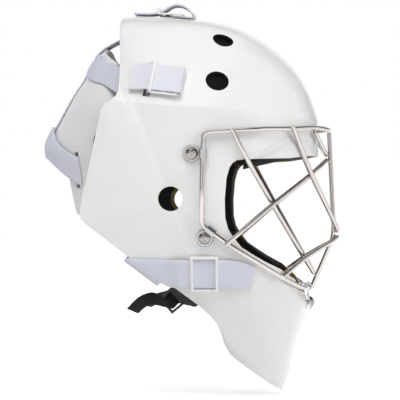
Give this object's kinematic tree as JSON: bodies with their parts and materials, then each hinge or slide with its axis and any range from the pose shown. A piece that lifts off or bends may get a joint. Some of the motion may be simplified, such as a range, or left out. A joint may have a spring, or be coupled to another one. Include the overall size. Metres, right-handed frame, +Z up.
{
  "type": "hockey goalie mask",
  "caption": "White goalie mask with a moulded shell, polished wire cage, black foam liner, pale webbing harness with slides, a hinged back plate and a black chin sling.",
  "frame": {"origin": "midway between the two ear holes, on their common axis, where the head sits", "axes": "+X the way the face looks, +Y the wearer's left, +Z up"},
  "size_m": [0.2652, 0.2254, 0.3451],
  "materials": {
    "shell_white": "glossy white gel coat over a laminated wall",
    "cage_chrome": "polished round wire",
    "clip_steel": "bent sheet steel",
    "screw_chrome": "polished dome head",
    "washer_clear": "clear moulded ring",
    "foam_black": "matt black lined foam",
    "webbing_lavender": "woven elastic webbing, pale grey lavender",
    "slide_white": "moulded white plastic",
    "plate_white": "moulded off-white plastic, satin",
    "cup_black": "moulded black plastic, satin",
    "webbing_black": "flat woven black webbing",
    "buckle_black": "moulded black plastic, glossy"
  },
  "bodies": {
    "shell": {"shell": "shell_white", "cage_rim": "cage_chrome", "cage_centre_bar": "cage_chrome", "cage_long_bar": "cage_chrome", "cage_upper_bar": "cage_chrome", "cage_cheek_bar": "cage_chrome", "cage_lower_bar": "cage_chrome", "cage_brow_bar": "cage_chrome", "upper_clips": "clip_steel", "lower_clips": "clip_steel", "chin_clip": "clip_steel", "clip_screws": "screw_chrome", "clip_washers": "washer_clear", "clip_nuts": "clip_steel", "brow_pad": "foam_black", "crown_pad": "foam_black", "temple_pad_right": "foam_black", "temple_pad_left": "foam_black", "ear_pad_right": "foam_black", "ear_pad_left": "foam_black", "cheek_pad_right": "foam_black", "cheek_pad_left": "foam_black", "jaw_pad_right": "foam_black", "jaw_pad_left": "foam_black", "chin_pad": "foam_black", "upper_strap_right": "webbing_lavender", "upper_strap_left": "webbing_lavender", "lower_strap_right": "webbing_lavender", "lower_strap_left": "webbing_lavender", "crown_strap": "webbing_lavender", "upper_elastic_right": "webbing_lavender", "upper_elastic_left": "webbing_lavender", "lower_elastic_right": "webbing_lavender", "lower_elastic_left": "webbing_lavender", "crown_elastic": "webbing_lavender", "chin_anchor_right": "webbing_black", "chin_anchor_left": "webbing_black"},
    "back_plate": {"back_plate": "plate_white", "back_plate_pad": "foam_black", "spine_strap": "webbing_lavender", "cross_strap": "webbing_lavender"},
    "chin_sling": {"chin_cup": "cup_black", "chin_cup_pad": "foam_black", "chin_strap_right": "webbing_black", "chin_strap_left": "webbing_black", "chin_buckle_right": "buckle_black", "chin_buckle_left": "buckle_black"},
    "upper_slide_right": {"upper_slide_right": "slide_white"},
    "upper_slide_left": {"upper_slide_left": "slide_white"},
    "lower_slide_right": {"lower_slide_right": "slide_white"},
    "lower_slide_left": {"lower_slide_left": "slide_white"},
    "crown_slide": {"crown_slide": "slide_white"}
  },
  "joints": [
    {"name": "back_plate_hinge", "type": "hinge", "parent": "shell", "child": "back_plate", "pos_m": [-0.05, 0, 0.14], "axis": [0, 1, 0], "range_deg": [0, 30], "stiffness_Nm_per_rad": 1.2, "springref_deg": -5.73, "deforming": ["upper_elastic_right", "upper_elastic_left", "lower_elastic_right", "lower_elastic_left", "crown_elastic"]},
    {"name": "chin_sling_hinge", "type": "hinge", "parent": "shell", "child": "chin_sling", "pos_m": [0.00302, 0, -0.08441], "axis": [0, 1, 0], "range_deg": [-8, 8]},
    {"name": "upper_slide_right_travel", "type": "slide", "parent": "shell", "child": "upper_slide_right", "axis": [0.9887, -0.0894, -0.1204], "range_m": [-0.008, 0.002]},
    {"name": "upper_slide_left_travel", "type": "slide", "parent": "shell", "child": "upper_slide_left", "axis": [0.9887, 0.0894, -0.1204], "range_m": [-0.008, 0.002]},
    {"name": "lower_slide_right_travel", "type": "slide", "parent": "shell", "child": "lower_slide_right", "axis": [0.9997, 0.0249, 0.0067], "range_m": [-0.006, 0.006]},
    {"name": "lower_slide_left_travel", "type": "slide", "parent": "shell", "child": "lower_slide_left", "axis": [0.9997, -0.0249, 0.0067], "range_m": [-0.006, 0.006]},
    {"name": "crown_slide_travel", "type": "slide", "parent": "shell", "child": "crown_slide", "axis": [0.9983, 0, -0.058], "range_m": [-0.006, 0]}
  ]
}
